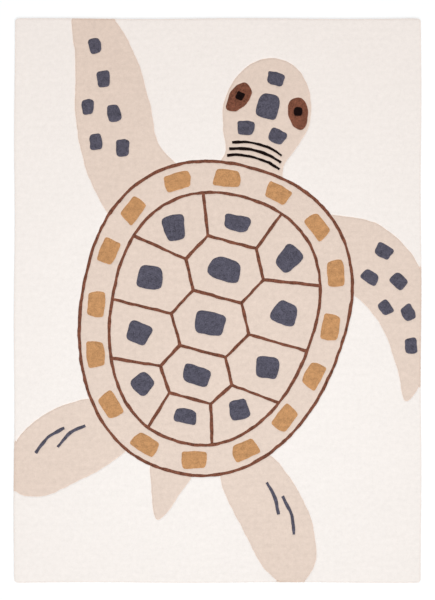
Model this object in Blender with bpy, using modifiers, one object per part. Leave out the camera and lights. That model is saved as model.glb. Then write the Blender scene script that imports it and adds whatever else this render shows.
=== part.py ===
"""A rectangular hand-tufted rug for a child's room, lying flat, with a turtle seen from above in its pile.

The rug is one cloth: canvas and cut pile together, so it is one solid. Its sides are sheared round at the
top, its corners are soft, and its pile is carved along the outlines of the animal. Metres, +Z up, +Y
towards the head end of the rug. The origin lies under the middle of the rug, on the floor.
"""

import math
from collections import namedtuple

import bmesh
import bpy

# The rug
WIDTH = 1.300
LENGTH = 1.800
CANVAS = 0.003  # backing canvas and the latex that holds the tufts
PILE = 0.011
THICKNESS = CANVAS + PILE
CORNER_RADIUS = 0.012
SHEAR_RADIUS = 0.005  # how far the pile rounds over at the rim
SHEAR_STEPS = 3
LEAN = 0.003  # the left side stands in by this at the head end
WAVE_DEPTH = 0.0012  # how far the sides wander in and out
WAVES_ALONG_SIDE = 3.0
WAVES_ALONG_END = 2.0
SIDE_PHASE = 1.0
END_PHASE = 0.7
FALL_OFF = 8  # the wandering fades by this power towards the middle of the rug
SIDE_POINTS = 24
END_POINTS = 18
CORNER_POINTS = 4
CREAM = (0.89, 0.84, 0.79)
WOOL_ROUGHNESS = 0.95

# The carving: a groove round the limbs, and the lines tufted on the shell, which are sheared lower
GROOVE_WIDTH = 0.005
GROOVE_DEPTH = 0.0025
LINE_WIDTH = 0.010
LINE_DEPTH = 0.0015
CLEARANCE = 0.005  # a cutter stands this far above the pile
OVERLAP = 0.001  # and its own cutters pass it by this

# The animal: its own axes are u to its right and v towards its head, from the middle of its shell
TURN_DEG = -15.0
MIDDLE_X = -0.020
MIDDLE_Y = -0.060
SHELL_HALF_WIDTH = 0.420
SHELL_HALF_LENGTH = 0.500
RIM_WIDTH = 0.097  # the band of edge plates
SHELL_TAPER = 0.10  # wider towards the head by this share
SHELL_SQUARENESS = 2.25
SHELL_POINTS = 96
LIMB_STEPS = 5  # points on each stretch of a limb's outline

# The seam down the right of the middle plates, from the head end to the tail end, and its mirror image.
# It zigzags: the outer corners take the seams between the side plates, the inner ones those across.
ZIGZAG = ((0.125, 0.372), (0.080, 0.255), (0.128, 0.165), (0.080, 0.075), (0.128, -0.015), (0.075, -0.105),
          (0.118, -0.185), (0.068, -0.260), (0.100, -0.362))
SIDE_SEAM_REACH = 0.20  # a side seam heads for a point this far out from its corner
SIDE_SEAM_FAN = 1.25  # and further from the middle by this factor

Limb = namedtuple("Limb", "name outline")
LIMBS = (
    Limb("front_right", ((0.20, 0.38), (0.34, 0.43), (0.47, 0.42), (0.60, 0.33), (0.685, 0.17), (0.70, 0.00),
                         (0.665, -0.09), (0.615, 0.00), (0.53, 0.12), (0.42, 0.19), (0.28, 0.20))),
    Limb("front_left", ((-0.20, 0.40), (-0.32, 0.20), (-0.48, 0.32), (-0.58, 0.50), (-0.63, 0.68), (-0.68, 0.82),
                        (-0.66, 0.89), (-0.57, 0.86), (-0.46, 0.76), (-0.37, 0.62), (-0.31, 0.50))),
    Limb("rear_right", ((0.14, -0.40), (0.26, -0.36), (0.37, -0.42), (0.47, -0.53), (0.52, -0.66), (0.48, -0.75),
                        (0.38, -0.73), (0.27, -0.62), (0.17, -0.50))),
    Limb("rear_left", ((-0.14, -0.42), (-0.18, -0.51), (-0.27, -0.60), (-0.37, -0.68), (-0.46, -0.69),
                       (-0.51, -0.61), (-0.48, -0.49), (-0.39, -0.39), (-0.27, -0.34))),
    Limb("head", ((0.10, 0.44), (0.095, 0.53), (0.125, 0.61), (0.14, 0.695), (0.11, 0.79), (0.045, 0.85),
                  (-0.045, 0.85), (-0.11, 0.79), (-0.14, 0.695), (-0.125, 0.61), (-0.095, 0.53), (-0.10, 0.44))),
    Limb("tail", ((0.065, -0.46), (-0.065, -0.46), (-0.045, -0.57), (0.0, -0.66), (0.045, -0.57))),
)


def clear_scene():
    """Removes every object, so that the file holds the rug alone."""
    for thing in list(bpy.data.objects):
        bpy.data.objects.remove(thing)


def new_collection(name):
    collection = bpy.data.collections.new(name)
    bpy.context.scene.collection.children.link(collection)
    return collection


def wool(name, colour, roughness):
    """A plain matt material."""
    material = bpy.data.materials.new(name)
    material.use_nodes = True
    shader = material.node_tree.nodes["Principled BSDF"]
    shader.inputs["Base Color"].default_value = (*colour, 1.0)
    shader.inputs["Roughness"].default_value = roughness
    shader.inputs["Metallic"].default_value = 0.0
    return material


def arc(centre_x, centre_y, radius, first_deg, last_deg, count):
    """Points on an arc, both ends included."""
    points = []
    for i in range(count):
        angle = math.radians(first_deg + (last_deg - first_deg) * i / (count - 1))
        points.append((centre_x + radius * math.cos(angle), centre_y + radius * math.sin(angle)))
    return points


def between(start, end, count):
    """Points inside a straight stretch, its ends left out."""
    return [(start[0] + (end[0] - start[0]) * i / count, start[1] + (end[1] - start[1]) * i / count)
            for i in range(1, count)]


def rug_outline():
    """The rug's outline, counter-clockwise: a rectangle with soft corners whose sides wander a little.

    It is fitted to WIDTH by LENGTH at the end, so that the wandering changes neither.
    """
    half_w = WIDTH / 2 - CORNER_RADIUS
    half_l = LENGTH / 2 - CORNER_RADIUS
    corners = [arc(x, y, CORNER_RADIUS, first, first + 90, CORNER_POINTS)
               for x, y, first in ((half_w, -half_l, -90), (half_w, half_l, 0),
                                   (-half_w, half_l, 90), (-half_w, -half_l, 180))]
    points = []
    for i, corner in enumerate(corners):
        following = corners[(i + 1) % len(corners)]
        count = SIDE_POINTS if i % 2 == 0 else END_POINTS
        points += corner + between(corner[-1], following[0], count)

    wandered = []
    for x, y in points:
        along_side = y / LENGTH * WAVES_ALONG_SIDE * 2 * math.pi
        along_end = x / WIDTH * WAVES_ALONG_END * 2 * math.pi
        lean = LEAN * (y / LENGTH + 0.5) if x < 0 else 0.0
        share_x = min(1.0, abs(x) / half_w) ** FALL_OFF
        share_y = min(1.0, abs(y) / half_l) ** FALL_OFF
        sideways = share_x * WAVE_DEPTH * math.sin(along_side + math.copysign(SIDE_PHASE, x))
        lengthways = share_y * WAVE_DEPTH * math.sin(along_end + math.copysign(END_PHASE, y))
        wandered.append((x + lean + sideways, y + lengthways))
    return fitted(wandered, WIDTH, LENGTH)


def fitted(points, width, length):
    """The points moved and scaled so that their box is centred and of that size."""
    low_x, high_x = min(p[0] for p in points), max(p[0] for p in points)
    low_y, high_y = min(p[1] for p in points), max(p[1] for p in points)
    return [((x - (low_x + high_x) / 2) * width / (high_x - low_x),
             (y - (low_y + high_y) / 2) * length / (high_y - low_y)) for x, y in points]


def smooth_loop(points, steps):
    """A closed Catmull-Rom curve through the points, with that many points on each stretch."""
    loop = []
    count = len(points)
    for i in range(count):
        before, start, end, after = (points[(i + k - 1) % count] for k in range(4))
        for step in range(steps):
            t = step / steps
            loop.append(tuple(0.5 * (2 * b + (c - a) * t + (2 * a - 5 * b + 4 * c - d) * t ** 2
                                     + (3 * b - 3 * c + d - a) * t ** 3)
                              for a, b, c, d in zip(before, start, end, after)))
    return loop


def egg(half_width, half_length):
    """The shell's form: a slightly square oval, wider towards the head."""
    loop = []
    for i in range(SHELL_POINTS):
        angle = 2 * math.pi * i / SHELL_POINTS
        across, along = math.cos(angle), math.sin(angle)
        u = half_width * math.copysign(abs(across) ** (2 / SHELL_SQUARENESS), across)
        v = half_length * math.copysign(abs(along) ** (2 / SHELL_SQUARENESS), along)
        loop.append((u * (1 + SHELL_TAPER * v / half_length), v))
    return loop


def on_rug(points):
    """Points in the animal's axes, laid on the rug."""
    turn = math.radians(TURN_DEG)
    return [(MIDDLE_X + u * math.cos(turn) - v * math.sin(turn),
             MIDDLE_Y + u * math.sin(turn) + v * math.cos(turn)) for u, v in points]


def moved_out(loop, distance):
    """The closed loop moved away from its inside by the distance, or inwards where that is negative."""
    count = len(loop)
    area = sum(loop[i][0] * loop[(i + 1) % count][1] - loop[(i + 1) % count][0] * loop[i][1]
               for i in range(count))
    side = math.copysign(1.0, area)
    moved = []
    for i, (x, y) in enumerate(loop):
        along_x = loop[(i + 1) % count][0] - loop[i - 1][0]
        along_y = loop[(i + 1) % count][1] - loop[i - 1][1]
        size = math.hypot(along_x, along_y)
        moved.append((x + side * along_y / size * distance, y - side * along_x / size * distance))
    return moved


def plate(name, loops, low, high, collection):
    """A flat plate between two heights, bounded by the outer loop and open inside any further loops."""
    curve = bpy.data.curves.new(name, "CURVE")
    curve.dimensions = "2D"
    curve.fill_mode = "BOTH"
    curve.extrude = (high - low) / 2
    for loop in loops:
        spline = curve.splines.new("POLY")
        spline.points.add(len(loop) - 1)
        for point, (x, y) in zip(spline.points, loop):
            point.co = (x, y, 0.0, 1.0)
        spline.use_cyclic_u = True
    drawn = bpy.data.objects.new(name + "_curve", curve)
    drawn.location.z = (low + high) / 2
    collection.objects.link(drawn)
    solid = as_mesh(drawn, name, collection)
    bpy.data.objects.remove(drawn)
    bpy.data.curves.remove(curve)
    return solid


def as_mesh(thing, name, collection):
    """A new mesh object with the evaluated shape of the thing, its doubled points made one."""
    bpy.context.view_layer.update()
    mesh = bpy.data.meshes.new_from_object(thing.evaluated_get(bpy.context.evaluated_depsgraph_get()))
    mesh.name = name
    shape = bmesh.new()
    shape.from_mesh(mesh)
    bmesh.ops.remove_doubles(shape, verts=shape.verts, dist=1e-6)
    bmesh.ops.recalc_face_normals(shape, faces=shape.faces)
    shape.to_mesh(mesh)
    shape.free()
    solid = bpy.data.objects.new(name, mesh)
    solid.matrix_world = thing.matrix_world.copy()
    collection.objects.link(solid)
    return solid


def as_guide(thing):
    """Marks a cutter, which isn't part of the rug."""
    thing.hide_render = True
    thing.display_type = "WIRE"


def cut_or_join(thing, operation, others):
    """Adds a Boolean to the thing for each of the others."""
    for other in others:
        step = thing.modifiers.new(f"{operation.lower()} {other.name}", "BOOLEAN")
        step.operation = operation
        step.solver = "EXACT"
        step.object = other
        as_guide(other)


def limb_groove(shell_edge, cutters):
    """The cutter that carves round the limbs, head and tail, as far as the shell that covers their roots."""
    floor = THICKNESS - GROOVE_DEPTH
    clear = THICKNESS + CLEARANCE
    half = GROOVE_WIDTH / 2
    sides = {}
    for label, distance, margin in (("outside", half, 0.0), ("inside", -half, OVERLAP)):
        sides[label] = [plate(f"{limb.name}_{label}",
                              [moved_out(on_rug(smooth_loop(limb.outline, LIMB_STEPS)), distance)],
                              floor - margin, clear + margin, cutters) for limb in LIMBS]
    groove = sides["outside"][0]
    cut_or_join(groove, "UNION", sides["outside"][1:])
    cut_or_join(groove, "DIFFERENCE", sides["inside"])
    under_shell = plate("under_shell", [shell_edge], floor - 2 * OVERLAP, clear + 2 * OVERLAP, cutters)
    cut_or_join(groove, "DIFFERENCE", [under_shell])
    as_guide(groove)
    return groove


def rim_point(u, v):
    """Where the ray from the middle of the shell towards a point meets the inner edge of the edge plates."""
    loop = egg(SHELL_HALF_WIDTH - RIM_WIDTH, SHELL_HALF_LENGTH - RIM_WIDTH)
    for start, end in zip(loop, loop[1:] + loop[:1]):
        step_u, step_v = end[0] - start[0], end[1] - start[1]
        across = u * step_v - v * step_u
        if abs(across) < 1e-12:
            continue
        reach = (start[0] * step_v - start[1] * step_u) / across
        share = (start[0] * v - start[1] * u) / across
        if reach > 0 and 0 <= share < 1:
            return u * reach, v * reach
    raise ValueError("the ray misses the shell")


def shell_seams():
    """The middle lines of the seams between the shell's plates, in the animal's axes."""
    seams = []
    for side in (1, -1):
        corners = [(side * u, v) for u, v in ZIGZAG]
        seams.append([rim_point(*corners[0]), *corners[1:-1], rim_point(*corners[-1])])
        for u, v in corners[2:-1:2]:
            seams.append([(u, v), rim_point(u + side * SIDE_SEAM_REACH, v * SIDE_SEAM_FAN)])
    seams += [[(-u, v), (u, v)] for u, v in ZIGZAG[1::2]]
    return seams


def ribbon(line, width):
    """The outline of a band that follows an open line, with mitred corners."""
    sides = ([], [])
    for i, (x, y) in enumerate(line):
        ways = []
        for start, end in zip(line[max(0, i - 1):i + 1], line[max(1, i):i + 2]):
            size = math.dist(start, end)
            ways.append(((end[0] - start[0]) / size, (end[1] - start[1]) / size))
        way_x = sum(way[0] for way in ways) / len(ways)
        way_y = sum(way[1] for way in ways) / len(ways)
        reach = width / 2 / (way_x ** 2 + way_y ** 2)
        sides[0].append((x - way_y * reach, y + way_x * reach))
        sides[1].append((x + way_y * reach, y - way_x * reach))
    return sides[1] + sides[0][::-1]


def line_channels(shell_edge, plates_edge, cutters):
    """The cutters that shear the lines tufted on the shell lower: its edge, its inner ring and its seams."""
    floor = THICKNESS - LINE_DEPTH
    clear = THICKNESS + CLEARANCE
    channels = [plate(name, [moved_out(loop, LINE_WIDTH / 2), moved_out(loop, -LINE_WIDTH / 2)],
                      floor, clear, cutters)
                for name, loop in (("shell_edge", shell_edge), ("plates_edge", plates_edge))]
    for i, seam in enumerate(shell_seams()):
        channels.append(plate(f"seam_{i + 1}", [ribbon(on_rug(seam), LINE_WIDTH)], floor, clear, cutters))
    return channels


def shear_rim(thing):
    """Rounds the rug's upper rim, as the shears leave the pile."""
    shape = bmesh.new()
    shape.from_mesh(thing.data)
    weight = shape.edges.layers.float.new("bevel_weight_edge")
    for edge in shape.edges:
        sharp = edge.calc_face_angle() > math.radians(45)
        if sharp and min(vertex.co.z for vertex in edge.verts) > 0:
            edge[weight] = 1.0
    shape.to_mesh(thing.data)
    shape.free()
    shear = thing.modifiers.new("sheared rim", "BEVEL")
    shear.limit_method = "WEIGHT"
    shear.width = SHEAR_RADIUS
    shear.segments = SHEAR_STEPS


def make_rug():
    parts = new_collection("kids_rug")
    cutters = new_collection("cutters")
    rug = plate("rug", [rug_outline()], 0.0, THICKNESS, parts)
    shear_rim(rug)
    shell_edge = on_rug(egg(SHELL_HALF_WIDTH, SHELL_HALF_LENGTH))
    plates_edge = on_rug(egg(SHELL_HALF_WIDTH - RIM_WIDTH, SHELL_HALF_LENGTH - RIM_WIDTH))
    cut_or_join(rug, "DIFFERENCE", [limb_groove(shell_edge, cutters),
                                    *line_channels(shell_edge, plates_edge, cutters)])
    rug.data.materials.append(wool("cream_wool", CREAM, WOOL_ROUGHNESS))
    return rug


clear_scene()
make_rug()
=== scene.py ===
"""Dresses the kids rug: short cut wool pile in six yarns on a canvas, with a turtle seen from above.

The pile is one closed body for each yarn. Its top follows every line of the drawing, rounds over at the rug's
rim, dips in the grooves that the carver's shears leave between two yarns, and is a little uneven from tuft to
tuft. Locks of yarn stand round the rim. Metres, +Z up, +Y towards the animal's head.
"""

import math
from collections import defaultdict, namedtuple

import bmesh
import bpy
import numpy as np
from bpy.props import FloatProperty, FloatVectorProperty, IntProperty, PointerProperty
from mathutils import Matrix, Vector, noise
from mathutils.geometry import delaunay_2d_cdt
from mathutils.kdtree import KDTree


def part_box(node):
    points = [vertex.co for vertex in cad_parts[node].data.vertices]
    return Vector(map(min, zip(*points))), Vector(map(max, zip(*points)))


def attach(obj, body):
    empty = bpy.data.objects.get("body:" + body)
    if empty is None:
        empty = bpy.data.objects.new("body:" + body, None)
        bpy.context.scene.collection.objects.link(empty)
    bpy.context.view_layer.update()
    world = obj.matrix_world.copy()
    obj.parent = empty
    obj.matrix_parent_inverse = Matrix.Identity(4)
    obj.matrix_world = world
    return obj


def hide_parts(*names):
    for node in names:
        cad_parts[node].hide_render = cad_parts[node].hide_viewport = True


bl_info = {
    "name": "Tufted Kids Rug",
    "version": (1, 0, 0),
    "blender": (4, 5, 0),
    "location": "3D View > Sidebar > Kids Rug",
    "description": "Makes a hand-tufted kids rug with a carved turtle, its canvas and its studio",
    "category": "Object",
}

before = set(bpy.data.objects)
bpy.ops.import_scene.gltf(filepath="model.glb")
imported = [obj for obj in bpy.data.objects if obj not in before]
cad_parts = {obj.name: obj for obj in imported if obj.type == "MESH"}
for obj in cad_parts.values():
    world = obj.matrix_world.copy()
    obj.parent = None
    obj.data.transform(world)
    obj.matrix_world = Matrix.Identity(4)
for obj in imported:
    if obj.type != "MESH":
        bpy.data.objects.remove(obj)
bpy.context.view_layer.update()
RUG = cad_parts["rug"]
RUG_LOW, RUG_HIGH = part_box("rug")

YARNS = ("cream", "beige", "slate", "brown", "ochre", "black")
MERGE = 1e-6  # points nearer than this are one
CORNER = 1.0  # an edge whose faces turn by more radians than this is a corner
SEED = 7

# The animal: its own axes are u to its right and v towards its head, from the middle of its shell
TURN_DEG = -15.0
MIDDLE = (-0.020, -0.060)
SHELL_HALF_WIDTH = 0.420
SHELL_HALF_LENGTH = 0.500
RIM_WIDTH = 0.097  # the band of edge plates
SHELL_TAPER = 0.10
SHELL_SQUARENESS = 2.25
SHELL_POINTS = 240
LIMB_STEPS = 10
EDGE_PLATES = 16

LIMBS = {
    "front right": (
        (0.20, 0.38), (0.34, 0.43), (0.47, 0.42), (0.60, 0.33), (0.685, 0.17), (0.70, 0.00),
        (0.665, -0.09), (0.615, 0.00), (0.53, 0.12), (0.42, 0.19), (0.28, 0.20)),
    "front left": (
        (-0.20, 0.40), (-0.32, 0.20), (-0.48, 0.32), (-0.58, 0.50), (-0.63, 0.68), (-0.68, 0.82),
        (-0.66, 0.89), (-0.57, 0.86), (-0.46, 0.76), (-0.37, 0.62), (-0.31, 0.50)),
    "rear right": (
        (0.14, -0.40), (0.26, -0.36), (0.37, -0.42), (0.47, -0.53), (0.52, -0.66), (0.48, -0.75),
        (0.38, -0.73), (0.27, -0.62), (0.17, -0.50)),
    "rear left": (
        (-0.14, -0.42), (-0.18, -0.51), (-0.27, -0.60), (-0.37, -0.68), (-0.46, -0.69), (-0.51, -0.61),
        (-0.48, -0.49), (-0.39, -0.39), (-0.27, -0.34)),
    "head": (
        (0.10, 0.44), (0.095, 0.53), (0.125, 0.61), (0.14, 0.695), (0.11, 0.79), (0.045, 0.85),
        (-0.045, 0.85), (-0.11, 0.79), (-0.14, 0.695), (-0.125, 0.61), (-0.095, 0.53), (-0.10, 0.44)),
    "tail": ((0.065, -0.46), (-0.065, -0.46), (-0.045, -0.57), (0.0, -0.66), (0.045, -0.57)),
}

# The seam down the right of the middle plates, from the head end to the tail end, and its mirror image.
# It zigzags: the outer corners take the seams between the side plates, the inner ones those across.
ZIGZAG = ((0.125, 0.372), (0.080, 0.255), (0.128, 0.165), (0.080, 0.075), (0.128, -0.015), (0.075, -0.105),
          (0.118, -0.185), (0.068, -0.260), (0.100, -0.362))
SIDE_SEAM_REACH = 0.20
SIDE_SEAM_FAN = 1.25

# A mark is a rounded patch: its middle, its width and length, its tilt, and how much wider its front is
Mark = namedtuple("Mark", "u v width length tilt_deg skew yarn", defaults=["slate"])
MIDDLE_MARKS = (
    Mark(0.000, 0.318, 0.078, 0.050, 2, 0.10),
    Mark(0.002, 0.165, 0.096, 0.068, -4, -0.10),
    Mark(-0.002, -0.015, 0.092, 0.070, 3, 0.08),
    Mark(0.001, -0.185, 0.084, 0.058, -3, 0.10),
    Mark(0.000, -0.318, 0.066, 0.044, 4, -0.10),
    Mark(0.000, 0.794, 0.052, 0.038, 0, 0.12),
    Mark(0.000, 0.702, 0.066, 0.076, 2, -0.10),
    Mark(0.475, 0.352, 0.052, 0.038, -15, 0.10),
    Mark(0.545, 0.272, 0.050, 0.040, -30, -0.10),
    Mark(0.600, 0.182, 0.050, 0.038, -50, 0.10),
    Mark(0.636, 0.084, 0.046, 0.036, -70, 0.05),
    Mark(0.455, 0.262, 0.050, 0.038, -20, -0.10),
    Mark(0.527, 0.180, 0.046, 0.036, -40, 0.10),
    Mark(-0.415, 0.455, 0.040, 0.052, 15, 0.10),
    Mark(-0.470, 0.555, 0.040, 0.050, 25, -0.10),
    Mark(-0.530, 0.652, 0.038, 0.050, 20, 0.10),
    Mark(-0.583, 0.745, 0.036, 0.046, 25, 0.05),
    Mark(-0.502, 0.452, 0.038, 0.050, 20, -0.10),
    Mark(-0.555, 0.553, 0.036, 0.046, 15, 0.10),
)
MIRRORED_MARKS = (
    Mark(0.188, 0.252, 0.064, 0.078, -28, 0.10),
    Mark(0.222, 0.080, 0.074, 0.070, -8, -0.10),
    Mark(0.212, -0.102, 0.070, 0.066, 8, 0.08),
    Mark(0.160, -0.253, 0.060, 0.062, 28, -0.10),
    Mark(0.052, 0.618, 0.052, 0.044, -10, 0.10),
    Mark(0.096, 0.712, 0.025, 0.026, 10, 0.05, "black"),
)
EYE = ((0.062, 0.735), (0.095, 0.757), (0.126, 0.722), (0.129, 0.665), (0.102, 0.658), (0.071, 0.688))
EDGE_PLATE = Mark(0.0, 0.0, 0.078, 0.052, 0, 0.08, "ochre")
MARK_BELLY = 1.07  # how far out the middle of a mark's side is, its corners being at 1
MARK_CHANCE = 0.075  # how far a mark's corners may be out of place, as a share of its half size
MARK_LEAN = 0.06  # edge plates lean by this to one side and the other in turn
ROUNDING = {"slate": 0.62, "ochre": 0.34, "black": 0.45}  # how much of a mark's half size its corners take
CORNER_STEPS = 5

# A stroke is a drawn line with blunt ends
Stroke = namedtuple("Stroke", "yarn points width")
STROKES = (
    Stroke("black", ((-0.083, 0.562), (-0.045, 0.574), (0.0, 0.578), (0.045, 0.574), (0.083, 0.562)), 0.009),
    Stroke("black", ((-0.085, 0.540), (-0.045, 0.552), (0.0, 0.556), (0.045, 0.552), (0.085, 0.540)), 0.009),
    Stroke("black", ((-0.087, 0.518), (-0.045, 0.530), (0.0, 0.534), (0.045, 0.530), (0.087, 0.518)), 0.009),
    Stroke("slate", ((0.305, -0.455), (0.342, -0.495), (0.368, -0.545)), 0.010),
    Stroke("slate", ((0.365, -0.485), (0.408, -0.535), (0.432, -0.595)), 0.010),
    Stroke("slate", ((-0.300, -0.430), (-0.340, -0.465), (-0.368, -0.520)), 0.010),
    Stroke("slate", ((-0.362, -0.455), (-0.405, -0.498), (-0.430, -0.555)), 0.010),
)
STROKE_STEPS = 6

# A patch is a stretch of one yarn, low where its pile is sheared to a lower level
Patch = namedtuple("Patch", "yarn outline low", defaults=[False])

# Setting out the tufts
LINE_SPACING = 0.9  # between tufts along a drawn line, as a share of the tuft spacing
WANDER_PASSES = 8  # how often a line's wander is smoothed
SAMPLE_SPACING = 0.001  # between the places where the gap to a line is measured
LINE_ROWS = (0.42, 0.95)  # rows of tufts beside a line, as shares of the groove's reach
RIM_ROWS = (0.12, 0.32, 0.60, 0.95)  # and along the rim, as shares of its radius
ROW_SCATTER = 0.0003  # along its row
ROW_ROOM = 0.85  # how much of a row's own distance a tuft keeps where lines meet
LINE_ROOM = 0.4  # how far tufts keep from lines that aren't their own, as a share of the groove's reach
FIELD_SCATTER = 0.24  # this and the next two are shares of the tuft spacing
FIELD_TO_LINE = 0.4
FIELD_TO_RIM = 0.3
Sway = namedtuple("Sway", "per_metre level share")  # one slow rise and fall of the sheared surface
SWAYS = (Sway(16, 0.3, 1.0), Sway(47, 8.1, 0.6))

# The locks of yarn at the rim, and the canvas
Ring = namedtuple("Ring", "share swell")  # how far up a lock, and how wide there
LOCK_RINGS = (Ring(0.0, 0.90), Ring(0.45, 1.06), Ring(0.84, 1.03), Ring(0.96, 0.80), Ring(1.0, 0.42))
LOCK_SIDES = 8
LOCK_TWIST = 0.4  # in sides, from root to tip
LOCK_CURVE = 1.6  # a lock leans more the higher up it is
LOCK_WIDTHS = (0.82, 1.15)  # the narrowest and widest, as shares of the lock width
LOCK_INSET = 0.5  # from the outline to the outer row, as a share of the lock width
LOCK_ROW_STEP = 0.55  # from that row to the next one in, likewise
LOCK_SHEAR = 0.65  # how much of the pile's rounding the tips follow
LOCK_SHORT = (0.0001, 0.0006)  # how much lower than that they end, at least and at most
LOCK_SCATTER = 0.0003
LOCK_LEAN = (0.0004, 0.0002)  # in and out, and any way
LOCK_ROOT = 0.0002  # how deep in the canvas
CANVAS_ROUNDING = 0.4  # share of the canvas's thickness
SHARP_DEG = 50

# The wool's look
TUFT_SQUASH = 0.22  # tufts are about four times as tall as they are wide
TUFT_WANDER = 0.0022  # how crooked a tuft's outline is
FIBRES_PER_TUFT = 5.0
MEAN_GAP = 0.45  # the mean distance from a tuft's middle, in tufts
# GAP_PAINTED_SHADE is painted shade: the colour darkens away from each tuft's middle, in the gaps between
# tufts
OWN_SHADE, GAP_PAINTED_SHADE, FIBRE_SHADE = 0.4, 1.3, 3.2  # shares of a yarn's tuft shade
WIDE_CLOUDS, NEAR_CLOUDS = 7.0, 70.0  # per metre
ROW_STRETCH = (11.0, 75.0, 11.0)  # per metre along each axis, as the tufting gun travels across the rug
ROW_DRIFT, NEAR_DRIFT = 1.9, 4.0  # shares of a yarn's dye drift
TIP_HEIGHT, TIP_ROUNDING, FIBRE_RELIEF = 0.65, 0.9, 0.45  # shares of the tuft relief
WOOL_FINISH = {"Roughness": 0.95, "Specular IOR Level": 0.03, "Sheen Weight": 0.03, "Sheen Roughness": 0.6}
WOOL_BUMP = 0.55

# The canvas's look
SLUB_STRETCHES = ((9.0, 120.0, 9.0), (120.0, 9.0, 9.0))
# Painted shade of the weave: darker in the grooves between threads, lighter on the ridges
RIDGE_PAINTED_SHADE, GROOVE_PAINTED_SHADE = 0.28, 0.18
CANVAS_FINISH = {"Roughness": 0.9, "Specular IOR Level": 0.2}
CANVAS_RELIEF = {"Strength": 0.7, "Distance": 0.0005}

# The studio
KEY_PLACE = (0.30, -0.60, 1.2)
TOP_PLACE, TOP_AIM, TOP_SIZE = (0.0, -0.40, 2.2), (0.0, -0.35, 0), 1.0
TOP_TINT = (0.61, 0.85, 1.0)
FLOOR_RADIUS, FLOOR_SIDES, FLOOR_GAP = 60.0, 96, 0.0002


# Outlines

def smooth_loop(points, steps):
    """A closed Catmull-Rom curve through the points, with that many points on each stretch."""
    count = len(points)
    loop = []
    for i in range(count):
        near = [points[(i + k - 1) % count] for k in range(4)]
        loop += [curve_point(near, step / steps) for step in range(steps)]
    return loop


def smooth_line(points, steps):
    """The same for an open line."""
    ends = [points[0], *points, points[-1]]
    line = []
    for i in range(len(points) - 1):
        line += [curve_point(ends[i:i + 4], step / steps) for step in range(steps)]
    return line + [points[-1]]


def curve_point(near, t):
    """The point at t between the second and third of four points."""
    return tuple(0.5 * (2 * b + (c - a) * t + (2 * a - 5 * b + 4 * c - d) * t ** 2
                        + (3 * b - 3 * c + d - a) * t ** 3) for a, b, c, d in zip(*near))


def squared_circle(half_width, half_length, squareness, count):
    """A round form that is squarer the higher its squareness, 2 being an ellipse."""
    loop = []
    for i in range(count):
        angle = 2 * math.pi * i / count
        across, along = math.cos(angle), math.sin(angle)
        loop.append((half_width * math.copysign(abs(across) ** (2 / squareness), across),
                     half_length * math.copysign(abs(along) ** (2 / squareness), along)))
    return loop


def egg(half_width, half_length):
    """The shell's form, wider towards the head."""
    return [(u * (1 + SHELL_TAPER * v / half_length), v)
            for u, v in squared_circle(half_width, half_length, SHELL_SQUARENESS, SHELL_POINTS)]


def marked(mark, rng):
    """A mark's outline: four corners, each cut round, with sides that belly out a little."""
    tilt = math.radians(mark.tilt_deg)
    half_width, half_length = mark.width / 2, mark.length / 2
    corners = []
    for side, end in ((1, -1), (1, 0), (1, 1), (0, 1), (-1, 1), (-1, 0), (-1, -1), (0, -1)):
        belly = 1.0 if side and end else MARK_BELLY
        u = side * half_width * (1 + mark.skew * end) * belly + rng.uniform(-1, 1) * MARK_CHANCE * half_width
        v = end * half_length * belly + rng.uniform(-1, 1) * MARK_CHANCE * half_length
        corners.append((mark.u + u * math.cos(tilt) - v * math.sin(tilt),
                        mark.v + u * math.sin(tilt) + v * math.cos(tilt)))
    return rounded(corners, ROUNDING[mark.yarn] * min(half_width, half_length))


def rounded(corners, reach):
    """The closed outline with a curve in place of each corner, from that far before it to that far after."""
    loop = []
    for i, corner in enumerate(corners):
        before, after = corners[i - 1], corners[(i + 1) % len(corners)]
        start = towards(corner, before, min(reach, 0.5 * math.dist(corner, before)))
        end = towards(corner, after, min(reach, 0.5 * math.dist(corner, after)))
        for step in range(CORNER_STEPS + 1):
            t = step / CORNER_STEPS
            loop.append(tuple((1 - t) ** 2 * a + 2 * t * (1 - t) * b + t ** 2 * c
                              for a, b, c in zip(start, corner, end)))
    return [p for i, p in enumerate(loop) if math.dist(p, loop[i - 1]) > MERGE]


def towards(start, end, distance):
    """The point at that distance from the start on the way to the end."""
    share = distance / math.dist(start, end)
    return tuple(a + (b - a) * share for a, b in zip(start, end))


def mirrored(loop):
    return [(-u, v) for u, v in reversed(loop)]


def on_rug(points):
    """Points in the animal's axes, laid on the rug."""
    turn = math.radians(TURN_DEG)
    return [(MIDDLE[0] + u * math.cos(turn) - v * math.sin(turn),
             MIDDLE[1] + u * math.sin(turn) + v * math.cos(turn)) for u, v in points]


def area(loop):
    """The area inside a closed loop, negative where the loop runs clockwise."""
    return sum(a[0] * b[1] - b[0] * a[1] for a, b in zip(loop, loop[1:] + loop[:1])) / 2


def counter_clockwise(loop):
    return loop if area(loop) > 0 else loop[::-1]


def outward(loop):
    """The unit vector away from the inside of a closed loop at each of its points."""
    here = np.asarray(loop)
    way = (np.roll(here, -1, axis=0) - np.roll(here, 1, axis=0)) * math.copysign(1.0, area(loop))
    way /= np.linalg.norm(way, axis=1, keepdims=True)
    return np.stack([way[:, 1], -way[:, 0]], axis=1)


def moved_out(loop, distance):
    """The closed loop moved away from its inside by the distance, or inwards where that is negative."""
    return [tuple(p) for p in np.asarray(loop) + outward(loop) * distance]


def divided(loop, spacing):
    """The closed loop with points added, so that none are further apart than the spacing."""
    fine = []
    for start, end in zip(loop, loop[1:] + loop[:1]):
        count = max(1, math.ceil(math.dist(start, end) / spacing))
        fine += [(start[0] + (end[0] - start[0]) * i / count, start[1] + (end[1] - start[1]) * i / count)
                 for i in range(count)]
    return fine


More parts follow.
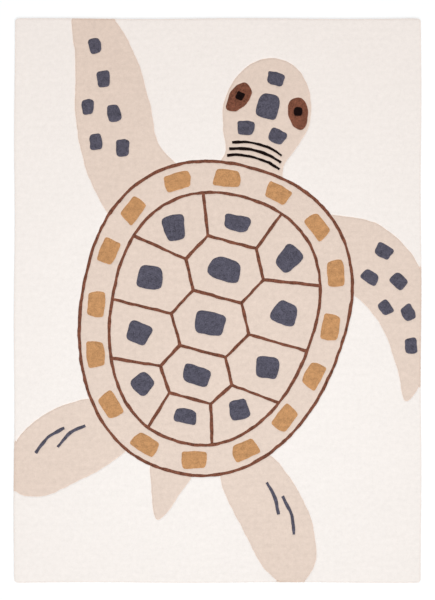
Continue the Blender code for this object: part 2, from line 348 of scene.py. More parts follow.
def hand_guided(loop, drift, step, rng):
    """The loop as a hand-held tufting gun follows it: drifting a little, with a small step at each tuft."""
    count = len(loop)
    wander = rng.normal(size=count)
    for _ in range(WANDER_PASSES):
        wander = (np.roll(wander, 1) + wander + np.roll(wander, -1)) / 3
    wander *= drift / max(wander.std(), MERGE)
    shift = np.clip(wander, -2 * drift, 2 * drift) + rng.uniform(-step, step, count)
    return [tuple(p) for p in np.asarray(loop) + outward(loop) * shift[:, None]]


def ribbon(line, width):
    """The outline of a band that follows an open line, with mitred corners."""
    sides = ([], [])
    for i, (x, y) in enumerate(line):
        ways = []
        for start, end in zip(line[max(0, i - 1):i + 1], line[max(1, i):i + 2]):
            size = math.dist(start, end)
            ways.append(((end[0] - start[0]) / size, (end[1] - start[1]) / size))
        way_x = sum(way[0] for way in ways) / len(ways)
        way_y = sum(way[1] for way in ways) / len(ways)
        reach = width / 2 / (way_x ** 2 + way_y ** 2)
        sides[0].append((x - way_y * reach, y + way_x * reach))
        sides[1].append((x + way_y * reach, y - way_x * reach))
    return sides[1] + sides[0][::-1]


def inner_ring():
    return egg(SHELL_HALF_WIDTH - RIM_WIDTH, SHELL_HALF_LENGTH - RIM_WIDTH)


def rim_point(u, v):
    """Where the ray from the middle of the shell towards a point meets the inner edge of the edge plates."""
    loop = inner_ring()
    for start, end in zip(loop, loop[1:] + loop[:1]):
        step_u, step_v = end[0] - start[0], end[1] - start[1]
        across = u * step_v - v * step_u
        if across == 0:
            continue
        reach = (start[0] * step_v - start[1] * step_u) / across
        share = (start[0] * v - start[1] * u) / across
        if reach > 0 and 0 <= share < 1:
            return u * reach, v * reach
    raise ValueError("the ray misses the shell")


def shell_seams():
    """The middle lines of the seams between the shell's plates."""
    seams = []
    for side in (1, -1):
        corners = [(side * u, v) for u, v in ZIGZAG]
        seams.append([rim_point(*corners[0]), *corners[1:-1], rim_point(*corners[-1])])
        for u, v in corners[2:-1:2]:
            seams.append([(u, v), rim_point(u + side * SIDE_SEAM_REACH, v * SIDE_SEAM_FAN)])
    seams += [[(-u, v), (u, v)] for u, v in ZIGZAG[1::2]]
    return seams


def edge_plates(rng):
    """The ochre marks, evenly along the band round the shell."""
    middle = egg(SHELL_HALF_WIDTH - RIM_WIDTH / 2, SHELL_HALF_LENGTH - RIM_WIDTH / 2)
    steps = [math.dist(a, b) for a, b in zip(middle, middle[1:] + middle[:1])]
    travelled = np.cumsum([0.0] + steps)
    plates = []
    for k in range(EDGE_PLATES):
        i = int(np.searchsorted(travelled, (k + 0.5) / EDGE_PLATES * travelled[-1])) - 1
        (u, v), (next_u, next_v) = middle[i], middle[(i + 1) % len(middle)]
        lean = MARK_LEAN * (-1) ** k
        tilt = math.degrees(math.atan2(next_v - v, next_u - u) + lean)
        plate = EDGE_PLATE._replace(u=u, v=v, tilt_deg=tilt, skew=EDGE_PLATE.skew * (-1) ** k)
        plates.append(marked(plate, rng))
    return plates


def turtle(line_width, rng):
    """Every stretch of yarn in the animal, in its own axes, each lying over those before it."""
    patches = [Patch("beige", smooth_loop(outline, LIMB_STEPS)) for outline in LIMBS.values()]
    for ring in (egg(SHELL_HALF_WIDTH, SHELL_HALF_LENGTH), inner_ring()):
        patches.append(Patch("brown", moved_out(ring, line_width / 2), True))
        patches.append(Patch("beige", moved_out(ring, -line_width / 2)))
    patches += [Patch("brown", ribbon(seam, line_width), True) for seam in shell_seams()]
    patches += [Patch(EDGE_PLATE.yarn, outline) for outline in edge_plates(rng)]
    eye = smooth_loop(EYE, LIMB_STEPS)
    patches += [Patch("brown", eye), Patch("brown", mirrored(eye))]
    patches += [Patch(mark.yarn, marked(mark, rng)) for mark in MIDDLE_MARKS]
    for mark in MIRRORED_MARKS:
        patches += [Patch(mark.yarn, marked(mark, rng)),
                    Patch(mark.yarn, mirrored(marked(mark, rng)))]
    patches += [Patch(stroke.yarn, ribbon(smooth_line(stroke.points, STROKE_STEPS), stroke.width))
                for stroke in STROKES]
    return patches


def floor_outline():
    """The outline of the rug's solid on the floor, counter-clockwise from above."""
    shape = bmesh.new()
    shape.from_mesh(RUG.data)
    bmesh.ops.remove_doubles(shape, verts=shape.verts, dist=MERGE)
    beside = defaultdict(list)
    for edge in shape.edges:
        if max(vert.co.z for vert in edge.verts) < RUG_LOW.z + MERGE and edge.calc_face_angle(0) > CORNER:
            for vert in edge.verts:
                beside[vert.index].append(edge.other_vert(vert).index)
    start = next(iter(beside))
    route = [start, beside[start][0]]
    while route[-1] != start:
        route.append(next(i for i in beside[route[-1]] if i != route[-2]))
    shape.verts.ensure_lookup_table()
    loop = [tuple(shape.verts[i].co.xy) for i in route[:-1]]
    shape.free()
    return counter_clockwise(loop)


def laid_out(sizes):
    """The rug's own stretch of cream yarn and every stretch of the animal, laid on the rug."""
    rng = np.random.default_rng(SEED)
    ground = divided(moved_out(floor_outline(), -sizes.rim_inset), sizes.tuft_spacing)
    patches = [Patch("cream", ground)]
    for patch in turtle(sizes.line_width, rng):
        fine = divided(counter_clockwise(on_rug(patch.outline)), sizes.tuft_spacing * LINE_SPACING)
        patches.append(patch._replace(outline=hand_guided(fine, sizes.hand_drift, sizes.hand_step, rng)))
    return patches


def yarns_at(points, patches):
    """For each point, the number in YARNS of the yarn that shows there."""
    points = np.asarray(points)
    found = np.zeros(len(points), int)
    for patch in patches[1:]:
        loop = np.asarray(patch.outline)
        low, high = loop.min(0), loop.max(0)
        near = np.flatnonzero(((points >= low) & (points <= high)).all(1))
        x, y = points[near].T[:, :, None]
        ahead = np.roll(loop, -1, axis=0)
        crosses = (loop[:, 1] > y) != (ahead[:, 1] > y)
        rise = np.where(ahead[:, 1] == loop[:, 1], 1.0, ahead[:, 1] - loop[:, 1])
        reach = loop[:, 0] + (y - loop[:, 1]) / rise * (ahead[:, 0] - loop[:, 0])
        found[near[(crosses & (x < reach)).sum(1) % 2 == 1]] = YARNS.index(patch.yarn)
    return found


# The pile

def cut_up(patches, extra=()):
    """Triangles over the rug that follow every outline: points, triangles, and the patch on top in each."""
    points, loops = [], []
    for patch in patches:
        loops.append(list(range(len(points), len(points) + len(patch.outline))))
        points += [Vector(p) for p in patch.outline]
    points += [Vector(p) for p in extra]
    made, _, triangles, _, _, stacks = delaunay_2d_cdt(points, [], loops, 0, MERGE, True)
    kept = [(triangle, max(stack)) for triangle, stack in zip(triangles, stacks) if 0 in stack]
    return (np.array([tuple(p) for p in made]), np.array([triangle for triangle, _ in kept]),
            np.array([top for _, top in kept]))


def borders(triangles, yarns):
    """The edges where the yarn changes or the rug ends, each with its own yarn on its left.

    Returns their first points, last points, yarn, and the yarn on the other side or -1 off the rug.
    """
    first = triangles.reshape(-1)
    last = np.roll(triangles, -1, axis=1).reshape(-1)
    yarn = np.repeat(yarns, 3)
    size = triangles.max() + 1
    keys = first * size + last
    order = np.argsort(keys)
    place = np.searchsorted(keys, last * size + first, sorter=order)
    twin = order[np.minimum(place, len(keys) - 1)]
    other = np.where(keys[twin] == last * size + first, yarn[twin], -1)
    change = other != yarn
    return first[change], last[change], yarn[change], other[change]


def nearness(points, edges):
    """A search tree over the edges, with the number of the edge that each of its points belongs to."""
    samples, owners = [], []
    for number, (start, end) in enumerate(edges):
        a, b = points[start], points[end]
        count = max(1, math.ceil(math.dist(a, b) / SAMPLE_SPACING))
        for i in range(count):
            samples.append(a + (b - a) * (i + 0.5) / count)
            owners.append(number)
    tree = KDTree(len(samples))
    for i, (x, y) in enumerate(samples):
        tree.insert((x, y, 0.0), i)
    tree.balance()
    return tree, owners


def gaps_to(points, tree):
    """How far each point is from the tree, and the number of the sample it is nearest to."""
    found = [tree.find((x, y, 0.0)) for x, y in points]
    return np.array([hit[2] for hit in found]), np.array([hit[1] for hit in found])


def tuft_places(sizes, points, lines, rims, line_tree, rim_tree):
    """Where tufts stand besides those on the drawing's own lines: in rows beside a line and along the rim,
    and evenly but for a little chance everywhere else."""
    rng = np.random.default_rng(SEED + 1)
    rows = [(lines, share * sizes.groove_reach) for share in LINE_ROWS]
    rows += [(rims, share * sizes.rim_radius) for share in RIM_ROWS]
    tufts = []
    for edges, distance in rows:
        start, end = points[edges[:, 0]], points[edges[:, 1]]
        way = (end - start) / np.linalg.norm(end - start, axis=1, keepdims=True)
        left = np.stack([-way[:, 1], way[:, 0]], axis=1)
        scatter = way * rng.uniform(-1, 1, (len(way), 1)) * ROW_SCATTER
        spot = (start + end) / 2 + left * distance + scatter
        line_gap, _ = gaps_to(spot, line_tree)
        rim_gap, _ = gaps_to(spot, rim_tree)
        own_gap = line_gap if edges is lines else rim_gap
        other_gap = rim_gap if edges is lines else line_gap
        tufts.append(spot[(own_gap > ROW_ROOM * distance) & (other_gap > LINE_ROOM * sizes.groove_reach)])

    pitch = sizes.tuft_spacing
    columns = np.arange(RUG_LOW.x, RUG_HIGH.x, pitch)
    rows_up = np.arange(RUG_LOW.y, RUG_HIGH.y, pitch * math.sqrt(0.75))
    x, y = np.meshgrid(columns, rows_up)
    x[1::2] += pitch / 2
    spot = np.stack([x.ravel(), y.ravel()], axis=1)
    spot += rng.uniform(-FIELD_SCATTER, FIELD_SCATTER, spot.shape) * pitch
    line_gap, _ = gaps_to(spot, line_tree)
    rim_gap, _ = gaps_to(spot, rim_tree)
    off_lines = line_gap > sizes.groove_reach + FIELD_TO_LINE * pitch
    off_rim = rim_gap > sizes.rim_radius + FIELD_TO_RIM * pitch
    tufts.append(spot[off_lines & off_rim])
    return np.concatenate(tufts)


def eased(share):
    """1 at a share of 0 and 0 from 1 on, with no corner at either end."""
    share = np.clip(share, 0.0, 1.0)
    return (1 - share) ** 2 * (1 + 2 * share)


def rounded_drop(gap, radius):
    """How far the pile falls away at a gap from the rug's rim."""
    inner = np.clip(radius - gap, 0.0, radius)
    return radius - np.sqrt(radius ** 2 - inner ** 2)


def pile_heights(sizes, points, low, line_gap, line_depth, rim_gap):
    """The height of each tuft's tip."""
    rng = np.random.default_rng(SEED + 2)
    sway = np.array([sum(part.share * noise.noise((x * part.per_metre, y * part.per_metre, part.level))
                         for part in SWAYS) for x, y in points])
    groove = line_depth * eased(line_gap / sizes.groove_reach)
    drop = np.maximum(groove, np.where(low, sizes.line_drop, 0.0))
    chance = rng.normal(size=len(points)).clip(-2, 2) * sizes.tuft_unevenness
    top = RUG_HIGH.z - sizes.pile_sway * (1 + sway) - drop - rounded_drop(rim_gap, sizes.rim_radius)
    return top + chance


def yarn_body(name, points, heights, triangles, flat_points, flat_triangles, edges, foot):
    """One yarn's pile as a closed body: its tips, its sides down to the canvas, and its foot there.

    edges are its directed borders.
    """
    used = np.unique(triangles)
    index = {int(old): new for new, old in enumerate(used)}
    verts = [(*points[i], heights[i]) for i in used]
    faces = [tuple(index[int(i)] for i in triangle) for triangle in triangles]
    feet, places = {}, {}
    for i in np.unique(edges):
        feet[int(i)] = places[tuple(np.round(points[i], 6))] = len(verts)
        verts.append((*points[i], foot))
    faces += [(index[last], index[first], feet[first], feet[last]) for first, last in edges.tolist()]
    for triangle in flat_triangles:
        face = []
        for i in triangle:
            key = tuple(np.round(flat_points[i], 6))
            if key not in places:
                places[key] = len(verts)
                verts.append((*flat_points[i], foot))
            face.append(places[key])
        faces.append(tuple(reversed(face)))
    return new_piece(name, verts, faces)


def new_piece(name, verts, faces, sharp_deg=SHARP_DEG):
    """A piece made from its points and faces."""
    mesh = bpy.data.meshes.new(name)
    mesh.from_pydata([tuple(map(float, v)) for v in verts], [], faces)
    mesh.validate()
    return placed(mesh, sharp_deg)


def placed(mesh, sharp_deg=SHARP_DEG):
    """The mesh as a piece of the same name, shaded smooth but for its sharp edges."""
    mesh.shade_smooth()
    mesh.set_sharp_from_angle(angle=math.radians(sharp_deg))
    piece = bpy.data.objects.new(mesh.name, mesh)
    bpy.context.scene.collection.objects.link(piece)
    return piece


def tuft_pile(sizes):
    """The pile of every yarn: (yarn, piece) for each."""
    patches = laid_out(sizes)
    yarn_of = np.array([YARNS.index(patch.yarn) for patch in patches])
    low_of = np.array([patch.low for patch in patches])
    flat_points, flat_triangles, flat_tops = cut_up(patches)
    first, last, yarn, other = borders(flat_triangles, yarn_of[flat_tops])
    edges = np.stack([first, last], axis=1)
    lines, rims = edges[other >= 0], edges[other < 0]
    outer = (np.minimum(yarn, other) == YARNS.index("cream"))[other >= 0]
    line_tree, line_owner = nearness(flat_points, lines)
    rim_tree, _ = nearness(flat_points, rims)
    tufts = tuft_places(sizes, flat_points, lines, rims, line_tree, rim_tree)

    points, triangles, tops = cut_up(patches, tufts)
    line_gap, sample = gaps_to(points, line_tree)
    rim_gap, _ = gaps_to(points, rim_tree)
    depth = np.where(outer[np.array(line_owner)[sample]], sizes.outline_depth, sizes.groove_depth)
    high = np.zeros(len(points), bool)
    high[triangles[~low_of[tops]]] = True
    heights = pile_heights(sizes, points, ~high, line_gap, depth, rim_gap)

    first, last, yarn, _ = borders(triangles, yarn_of[tops])
    edges = np.stack([first, last], axis=1)
    return [(name, yarn_body(f"pile_{name}", points, heights, triangles[yarn_of[tops] == number], flat_points,
                             flat_triangles[yarn_of[flat_tops] == number], edges[yarn == number],
                             sizes.canvas_thickness)) for number, name in enumerate(YARNS)]


# The rim and the canvas

def rim_lock(root, away, foot, height, width, lean):
    """The points of one lock of yarn that stands at the rim, ring by ring from its root to its cut end."""
    along = np.array([-away[1], away[0]])
    points = []
    for ring in LOCK_RINGS:
        centre = root + lean * ring.share ** LOCK_CURVE
        for k in range(LOCK_SIDES):
            angle = 2 * math.pi * (k + LOCK_TWIST * ring.share) / LOCK_SIDES
            spot = centre + (along * math.cos(angle) + away * math.sin(angle)) * width / 2 * ring.swell
            points.append((*spot, foot + height * ring.share))
    return points


def lock_faces(start):
    """The faces of one lock whose points begin at that index."""
    faces = []
    for ring in range(len(LOCK_RINGS) - 1):
        for k in range(LOCK_SIDES):
            a = start + ring * LOCK_SIDES + k
            b = start + ring * LOCK_SIDES + (k + 1) % LOCK_SIDES
            faces.append((b, a, a + LOCK_SIDES, b + LOCK_SIDES))
    top = start + (len(LOCK_RINGS) - 1) * LOCK_SIDES
    faces.append(tuple(top + k for k in reversed(range(LOCK_SIDES))))
    faces.append(tuple(start + k for k in range(LOCK_SIDES)))
    return faces


def rim_locks(sizes):
    """The locks of yarn round the rim, row by row: (yarn, piece) for each yarn that reaches it."""
    rng = np.random.default_rng(SEED + 3)
    patches = laid_out(sizes)
    outline = floor_outline()
    foot = sizes.canvas_thickness - LOCK_ROOT
    out, any_way = LOCK_LEAN
    made = []
    for row in range(sizes.rim_rows):
        inset = sizes.lock_width * (LOCK_INSET + LOCK_ROW_STEP * row)
        sheared = RUG_HIGH.z - LOCK_SHEAR * rounded_drop(inset, sizes.rim_radius)
        loop = divided(moved_out(outline, -inset), sizes.lock_spacing)
        away = outward(loop)
        yarns = yarns_at(np.asarray(loop) - away * sizes.rim_radius, patches)
        bodies = defaultdict(lambda: ([], []))
        for root, way, yarn in zip(np.asarray(loop), away, yarns):
            root = root + rng.uniform(-LOCK_SCATTER, LOCK_SCATTER, 2)
            top = sheared - rng.uniform(*LOCK_SHORT)
            lean = way * rng.uniform(-out, out) + rng.normal(size=2).clip(-2, 2) * any_way
            width = sizes.lock_width * rng.uniform(*LOCK_WIDTHS)
            verts, faces = bodies[YARNS[yarn]]
            faces += lock_faces(len(verts))
            verts += rim_lock(root, way, foot, top - foot, width, lean)
        made += [(yarn, new_piece(f"rim_row_{row + 1}_{yarn}", *body, sharp_deg=180))
                 for yarn, body in bodies.items()]
    return made


def lay_canvas(sizes):
    """The canvas under the pile, its edge turned under and glued flat, so a slab with rounded edges."""
    loop = moved_out(floor_outline(), -sizes.canvas_inset)
    shape = bmesh.new()
    ring = [shape.verts.new((x, y, RUG_LOW.z)) for x, y in loop]
    base = shape.faces.new(ring)
    raised = bmesh.ops.extrude_face_region(shape, geom=[base])["geom"]
    bmesh.ops.translate(shape, verts=[v for v in raised if isinstance(v, bmesh.types.BMVert)],
                        vec=(0, 0, sizes.canvas_thickness))
    bmesh.ops.recalc_face_normals(shape, faces=shape.faces)
    level = [edge for edge in shape.edges if abs(edge.verts[0].co.z - edge.verts[1].co.z) < MERGE]
    sharp = [edge for edge in level if edge.calc_face_angle(0) > CORNER]
    bmesh.ops.bevel(shape, geom=sharp, offset=sizes.canvas_thickness * CANVAS_ROUNDING, segments=3,
                    profile=0.5, affect="EDGES")
    mesh = bpy.data.meshes.new("rug_canvas")
    shape.to_mesh(mesh)
    shape.free()
    return placed(mesh)


# Finishes

def feed(node, inputs):
    """Joins each of those sockets of the node to another node's output, or sets it to a plain value."""
    for socket, value in inputs.items():
        if isinstance(value, bpy.types.NodeSocket):
            node.id_data.links.new(value, node.inputs[socket])
        else:
            node.inputs[socket].default_value = value


class Wiring:
    """Short ways to place nodes in one tree."""

    def __init__(self, tree):
        self.tree = tree

    def node(self, kind, inputs=None, **settings):
        node = self.tree.nodes.new(kind)
        for key, value in settings.items():
            setattr(node, key, value)
        feed(node, inputs or {})
        return node

    def maths(self, operation, *values):
        return self.node("ShaderNodeMath", dict(enumerate(values)), operation=operation).outputs[0]

    def vectors(self, operation, *values):
        return self.node("ShaderNodeVectorMath", dict(enumerate(values)), operation=operation).outputs[0]

    def total(self, first, *others):
        for other in others:
            first = self.maths("ADD", first, other)
        return first

    def about(self, value, middle, strength, share=1.0):
        """How far the value is from its middle, times a share of the strength."""
        return self.maths("MULTIPLY", self.maths("SUBTRACT", value, middle),
                          self.maths("MULTIPLY", strength, share))

    def cloud(self, place, scale, detail=3.0, roughness=0.5, output="Fac"):
        inputs = {"Vector": place, "Scale": scale, "Detail": detail, "Roughness": roughness}
        return self.node("ShaderNodeTexNoise", inputs).outputs[output]


def new_group(name, inputs):
    """A shader node group that gives a colour and a height, made from the named inputs.

    Returns its wiring, the sockets of what it is given, and the node that takes its result.
    """
    tree = bpy.data.node_groups.new(name, "ShaderNodeTree")
    for label, default in inputs.items():
        kind = "NodeSocketFloat" if isinstance(default, float) else "NodeSocketColor"
        tree.interface.new_socket(label, in_out="INPUT", socket_type=kind).default_value = default
    tree.interface.new_socket("Color", in_out="OUTPUT", socket_type="NodeSocketColor")
    tree.interface.new_socket("Height", in_out="OUTPUT", socket_type="NodeSocketFloat")
    return Wiring(tree), tree.nodes.new("NodeGroupInput").outputs, tree.nodes.new("NodeGroupOutput")


def cut_pile_group():
    """Cut wool pile: each tuft its own tone and a rounded tip, painted shade in the gaps between tufts, the
    fibres in it, and a slow drift in dye.
    """
    w, given, result = new_group("cut_pile", {
        "Yarn": (0.8, 0.8, 0.8, 1.0), "Tufts per Metre": 300.0, "Tuft Shade": 0.05, "Dye Drift": 0.02})
    tufts, shade, drift = given["Tufts per Metre"], given["Tuft Shade"], given["Dye Drift"]
    place = w.node("ShaderNodeTexCoord").outputs["Object"]
    standing = w.vectors("MULTIPLY", place, (1.0, 1.0, TUFT_SQUASH))
    wander = w.cloud(standing, tufts, 4.0, output="Color")
    crooked = w.vectors("MULTIPLY_ADD", wander, (TUFT_WANDER, TUFT_WANDER, TUFT_WANDER), standing)
    cells = w.node("ShaderNodeTexVoronoi", {"Vector": crooked, "Scale": tufts}).outputs
    distance = cells["Distance"]
    own = w.node("ShaderNodeSeparateColor", {0: cells["Color"]}).outputs[0]
    fibres = w.cloud(standing, w.maths("MULTIPLY", tufts, FIBRES_PER_TUFT), roughness=0.65)
    rows = w.cloud(w.vectors("MULTIPLY", place, ROW_STRETCH), 1.0)
    level = w.total(
        1.0,
        w.about(own, 0.5, shade, OWN_SHADE),
        # painted shade: darker away from the tuft's middle, in the gaps between tufts
        w.about(distance, MEAN_GAP, shade, -GAP_PAINTED_SHADE),
        w.about(fibres, 0.5, shade, FIBRE_SHADE),
        w.about(w.cloud(place, WIDE_CLOUDS), 0.5, drift),
        w.about(rows, 0.5, drift, ROW_DRIFT),
        w.about(w.cloud(place, NEAR_CLOUDS), 0.5, drift, NEAR_DRIFT))
    tip = w.maths("MULTIPLY_ADD", w.maths("MULTIPLY", distance, distance), -TIP_ROUNDING, TIP_HEIGHT)
    feed(result, {"Color": w.vectors("MULTIPLY", given["Yarn"], level),
                  "Height": w.total(tip, w.maths("MULTIPLY", fibres, FIBRE_RELIEF))})
    return w.tree


def plain_weave_group():
    """Plain weave: warp and weft ridges that pass over each other in turn, with uneven yarn and painted
    shade: darker in the grooves between threads, lighter on the ridges.
    """
    w, given, result = new_group("plain_weave", {
        "Cloth": (0.8, 0.8, 0.8, 1.0), "Threads per Metre": 550.0, "Slub": 0.12})
    place = w.node("ShaderNodeTexCoord").outputs["Object"]
    split = w.node("ShaderNodeSeparateXYZ", {0: place}).outputs
    turns = w.maths("MULTIPLY", given["Threads per Metre"], math.pi)
    across = w.maths("SINE", w.maths("MULTIPLY", split["X"], turns))
    along = w.maths("SINE", w.maths("MULTIPLY", split["Y"], turns))
    over = w.maths("MULTIPLY", across, along)
    warp = w.maths("MULTIPLY", w.maths("ABSOLUTE", across), w.maths("ADD", 1.0, over))
    weft = w.maths("MULTIPLY", w.maths("ABSOLUTE", along), w.maths("SUBTRACT", 1.0, over))
    height = w.maths("MULTIPLY", w.maths("MAXIMUM", warp, weft), 0.5)
    slub = w.maths("SUBTRACT", *(w.cloud(w.vectors("MULTIPLY", place, way), 1.0) for way in SLUB_STRETCHES))
    # painted shade: the colour follows the weave's height, darker in its grooves and lighter on its ridges
    painted_weave_shade = w.maths("MULTIPLY_ADD", height, RIDGE_PAINTED_SHADE, 1.0 - GROOVE_PAINTED_SHADE)
    level = w.total(painted_weave_shade, w.maths("MULTIPLY", slub, given["Slub"]))
    feed(result, {"Color": w.vectors("MULTIPLY", given["Cloth"], level), "Height": height})
    return w.tree


def cloth(name, group, finish, values, relief):
    """A cloth's material: its finish, and the colour and relief that the group gives for those values."""
    material = bpy.data.materials.new(name)
    material.use_nodes = True
    w = Wiring(material.node_tree)
    yarns = w.node("ShaderNodeGroup", node_tree=group)
    feed(yarns, values)
    bump = w.node("ShaderNodeBump", {"Height": yarns.outputs["Height"], **relief})
    feed(w.tree.nodes["Principled BSDF"], {
        "Base Color": yarns.outputs["Color"], "Normal": bump.outputs["Normal"], **finish})
    return material


def shared(name, make):
    """The node group of that name, made the first time it is asked for."""
    return bpy.data.node_groups.get(name) or make()


def yarn_material(context, yarn):
    """The wool of that yarn, made the first time it is asked for."""
    name = f"{yarn}_pile"
    if name in bpy.data.materials:
        return bpy.data.materials[name]
    colours, sizes = context.scene.rug_colours, context.scene.rug_sizes
    values = {"Yarn": (*getattr(colours, yarn), 1.0), "Tufts per Metre": 1 / sizes.tuft_width,
              "Tuft Shade": getattr(colours, f"{yarn}_tufts"), "Dye Drift": getattr(colours, f"{yarn}_drift")}
    return cloth(name, shared("cut_pile", cut_pile_group), WOOL_FINISH, values,
                 {"Strength": WOOL_BUMP, "Distance": sizes.tuft_relief})


def fit_piece(piece, material):
    """Gives a piece its material and sets it on the rug, in the place of the rug's plain solid."""
    piece.data.materials.append(material)
    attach(piece, "root")
    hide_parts("rug")


def fit_yarns(context, pieces):
    """Fits each of those pieces in the wool of its yarn."""
    for yarn, piece in pieces:
        fit_piece(piece, yarn_material(context, yarn))


# The add-on

def amount(label, text, default, least=0.0, **kind):
    return FloatProperty(name=label, description=text, default=default, min=least, **kind)


def length(label, text, default, least=0.0):
    return amount(label, text, default, least, unit="LENGTH", precision=4)


# A yarn's tuft share also sets how dark the painted shade between its tufts is
def tuft_share(yarn, default):
    return amount(f"{yarn} tufts", f"How much tufts of {yarn.lower()} yarn differ in shade", default,
                  max=1.0, subtype="FACTOR")


def drift_share(yarn, default):
    return amount(f"{yarn} drift", f"How much the dye of {yarn.lower()} yarn drifts", default,
                  max=1.0, subtype="FACTOR")


def colour(label, text, default):
    return FloatVectorProperty(name=label, description=text, default=default, subtype="COLOR", size=3,
                               min=0.0, max=1.0)


class RugSizes(bpy.types.PropertyGroup):
    canvas_thickness: length("Canvas", "Canvas, latex and backing cloth together", 0.0026)
    canvas_inset: length("Canvas inset", "How far the canvas stays inside the rug's outline", 0.0012)
    rim_inset: length("Rim inset", "How far inside the rug's outline the pile's body ends", 0.0022)
    rim_radius: length("Rim radius", "How far in the pile rounds over at the rim", 0.0045, 0.001)
    line_width: length("Line width", "Width of the lines tufted on the shell", 0.010, 0.002)
    line_drop: length("Line drop", "How much lower those lines are sheared", 0.0012)
    groove_depth: length("Groove depth", "Depth of the carving round a patch", 0.0015)
    outline_depth: length("Outline depth", "Depth of the carving round the animal", 0.0021)
    groove_reach: length("Groove reach", "How far the carving reaches beside its line", 0.0028, 0.001)
    tuft_spacing: length("Tuft spacing", "From one tuft to the next", 0.0042, 0.002)
    tuft_unevenness: length("Tuft unevenness", "How far tuft tips stand above and below each other", 0.00012)
    pile_sway: length("Pile sway", "How far the sheared surface rises and falls", 0.00022)
    hand_drift: length("Hand drift", "How far a tufted line drifts from the drawn one", 0.0007)
    hand_step: length("Hand step", "How far single tufts step out of a line", 0.0002)
    lock_spacing: length("Lock spacing", "From one lock of yarn at the rim to the next", 0.0023, 0.001)
    lock_width: length("Lock width", "Width of a lock of yarn at the rim", 0.0038, 0.001)
    rim_rows: IntProperty(name="Rim rows", description="Rows of locks at the rim", default=2, min=1, max=4)
    tuft_width: length("Tuft width", "Width of one tuft's cut end", 0.0028, 0.0005)
    tuft_relief: length("Tuft relief", "How rounded the cut ends look", 0.0009)


class RugColours(bpy.types.PropertyGroup):
    cream: colour("Cream", "Yarn of the ground", (0.926, 0.818, 0.753))
    beige: colour("Beige", "Yarn of the animal's body", (0.785, 0.606, 0.503))
    slate: colour("Slate", "Yarn of the plates and spots", (0.099, 0.0885, 0.115))
    brown: colour("Brown", "Yarn of the lines and eyes", (0.206, 0.0725, 0.0425))
    ochre: colour("Ochre", "Yarn of the edge plates", (0.562, 0.2745, 0.1168))
    black: colour("Black", "Yarn of the neck bands and pupils", (0.0098, 0.0036, 0.0032))
    canvas: colour("Canvas", "Cotton cloth of the underside", (0.70, 0.63, 0.52))
    cream_tufts: tuft_share("Cream", 0.036)
    cream_drift: drift_share("Cream", 0.027)
    beige_tufts: tuft_share("Beige", 0.075)
    beige_drift: drift_share("Beige", 0.052)
    slate_tufts: tuft_share("Slate", 0.75)
    slate_drift: drift_share("Slate", 0.20)
    brown_tufts: tuft_share("Brown", 0.85)
    brown_drift: drift_share("Brown", 0.26)
    ochre_tufts: tuft_share("Ochre", 0.36)
    ochre_drift: drift_share("Ochre", 0.16)
    black_tufts: tuft_share("Black", 0.85)
    black_drift: drift_share("Black", 0.26)


class StudioSettings(bpy.types.PropertyGroup):
    lens_mm: amount("Lens", "Focal length", 85.0, 20.0, unit="CAMERA")
    frame_height: length("Frame height", "Height of the picture at the top of the pile", 1.9110, 0.1)
    frame_shift: length("Frame shift", "How far up the rug the middle of the picture is", 0.0020)
    floor: colour("Floor", "Colour of the floor", (0.53, 0.53, 0.53))
    floor_glow: amount("Floor glow", "Light of its own that keeps the floor white", 0.50)
    key_strength: amount("Key light", "Strength of the soft light from the front", 1.0)
    key_softness: amount("Key softness", "Angle that the key light spans", math.radians(50), max=math.pi,
                         subtype="ANGLE")
    top_watts: amount("Top lamp", "Power of the lamp over the tail end", 16.5, unit="POWER")
    sky: amount("Sky", "Strength of the even light from all sides", 0.57)
    backdrop: amount("Backdrop", "Brightness seen beyond the floor", 0.96)


def hang(scene, name, kind, place, aim, **values):
    """Hangs a light in that place, aimed there and unseen by the camera."""
    light = bpy.data.lights.new(name, kind)
    for key, value in values.items():
        setattr(light, key, value)
    lamp = bpy.data.objects.new(name, light)
    lamp.location = place
    lamp.rotation_euler = (Vector(aim) - Vector(place)).to_track_quat("-Z", "Y").to_euler()
    lamp.visible_camera = False
    scene.collection.objects.link(lamp)


class KIDSRUG_OT_studio(bpy.types.Operator):
    """Add the camera straight above the rug, the soft lights and the pale floor"""
    bl_idname = "kidsrug.studio"
    bl_label = "Studio"

    def execute(self, context):
        scene = context.scene
        studio = scene.rug_studio
        lens = bpy.data.cameras.new("camera")
        lens.lens = studio.lens_mm
        lens.sensor_fit = "VERTICAL"
        lens.sensor_height = 36.0
        camera = bpy.data.objects.new("camera", lens)
        above = studio.frame_height * studio.lens_mm / lens.sensor_height
        camera.location = (0, studio.frame_shift, RUG_HIGH.z + above)
        scene.collection.objects.link(camera)
        scene.camera = camera

        hang(scene, "key", "SUN", KEY_PLACE, (0, 0, 0), energy=studio.key_strength, angle=studio.key_softness)
        hang(scene, "top", "AREA", TOP_PLACE, TOP_AIM, energy=studio.top_watts, color=TOP_TINT,
             shape="DISK", size=TOP_SIZE)

        world = bpy.data.worlds.new("studio")
        world.use_nodes = True
        w = Wiring(world.node_tree)
        seen = w.node("ShaderNodeLightPath").outputs["Is Camera Ray"]
        light = w.maths("MULTIPLY_ADD", seen, studio.backdrop - studio.sky, studio.sky)
        feed(w.tree.nodes["Background"], {"Color": (1.0, 1.0, 1.0, 1.0), "Strength": light})
        scene.world = world
        scene.view_settings.view_transform = "Standard"

        mesh = bpy.data.meshes.new("floor")
        shape = bmesh.new()
        bmesh.ops.create_circle(shape, cap_ends=True, segments=FLOOR_SIDES, radius=FLOOR_RADIUS)
        shape.to_mesh(mesh)
        shape.free()
        floor = bpy.data.objects.new("floor", mesh)
        floor.location.z = -FLOOR_GAP
        paint = bpy.data.materials.new("floor_paint")
        paint.use_nodes = True
        feed(paint.node_tree.nodes["Principled BSDF"], {
            "Base Color": (*studio.floor, 1.0), "Roughness": 1.0, "Specular IOR Level": 0.0,
            "Emission Color": (1.0, 1.0, 1.0, 1.0), "Emission Strength": studio.floor_glow})
        mesh.materials.append(paint)
        scene.collection.objects.link(floor)
        return {"FINISHED"}


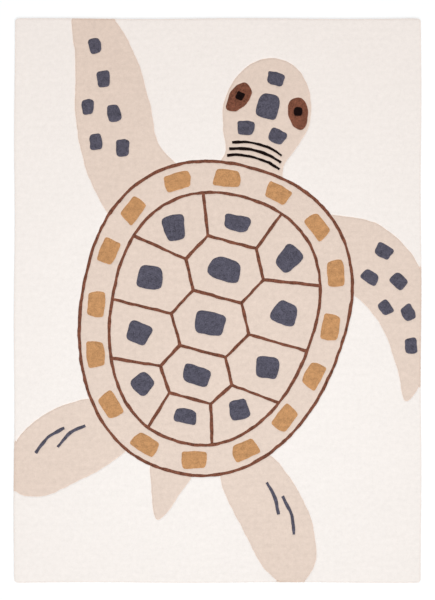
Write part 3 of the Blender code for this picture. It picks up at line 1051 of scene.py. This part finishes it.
class KIDSRUG_OT_pile(bpy.types.Operator):
    """Tuft and carve the pile, one body for each yarn"""
    bl_idname = "kidsrug.pile"
    bl_label = "Pile"

    def execute(self, context):
        fit_yarns(context, tuft_pile(context.scene.rug_sizes))
        return {"FINISHED"}


class KIDSRUG_OT_rim_locks(bpy.types.Operator):
    """Stand locks of yarn round the rim"""
    bl_idname = "kidsrug.rim_locks"
    bl_label = "Rim locks"

    def execute(self, context):
        fit_yarns(context, rim_locks(context.scene.rug_sizes))
        return {"FINISHED"}


class KIDSRUG_OT_canvas(bpy.types.Operator):
    bl_idname = "kidsrug.canvas"
    bl_label = "Canvas"

    def execute(self, context):
        canvas = lay_canvas(context.scene.rug_sizes)
        values = {"Cloth": (*context.scene.rug_colours.canvas, 1.0)}
        weave = shared("plain_weave", plain_weave_group)
        fit_piece(canvas, cloth("canvas", weave, CANVAS_FINISH, values, CANVAS_RELIEF))
        return {"FINISHED"}


class KIDSRUG_PT_panel(bpy.types.Panel):
    """Sizes, yarns and pieces of the rug"""
    bl_idname = "KIDSRUG_PT_panel"
    bl_label = "Kids Rug"
    bl_space_type = "VIEW_3D"
    bl_region_type = "UI"
    bl_category = "Kids Rug"

    def draw(self, context):
        for operator in OPERATORS:
            self.layout.operator(operator.bl_idname)
        for name, group in GROUPS.items():
            box = self.layout.box()
            for setting in group.__annotations__:
                box.prop(getattr(context.scene, name), setting)


GROUPS = {"rug_sizes": RugSizes, "rug_colours": RugColours, "rug_studio": StudioSettings}
OPERATORS = (KIDSRUG_OT_studio, KIDSRUG_OT_pile, KIDSRUG_OT_rim_locks, KIDSRUG_OT_canvas)
CLASSES = (*GROUPS.values(), *OPERATORS, KIDSRUG_PT_panel)


def register():
    for item in CLASSES:
        bpy.utils.register_class(item)
    for name, group in GROUPS.items():
        setattr(bpy.types.Scene, name, PointerProperty(type=group))


def unregister():
    for name in GROUPS:
        delattr(bpy.types.Scene, name)
    for item in reversed(CLASSES):
        bpy.utils.unregister_class(item)


def main():
    register()
    bpy.ops.kidsrug.studio()
    bpy.ops.kidsrug.pile()
    bpy.ops.kidsrug.rim_locks()
    bpy.ops.kidsrug.canvas()


if __name__ == "__main__":
    main()
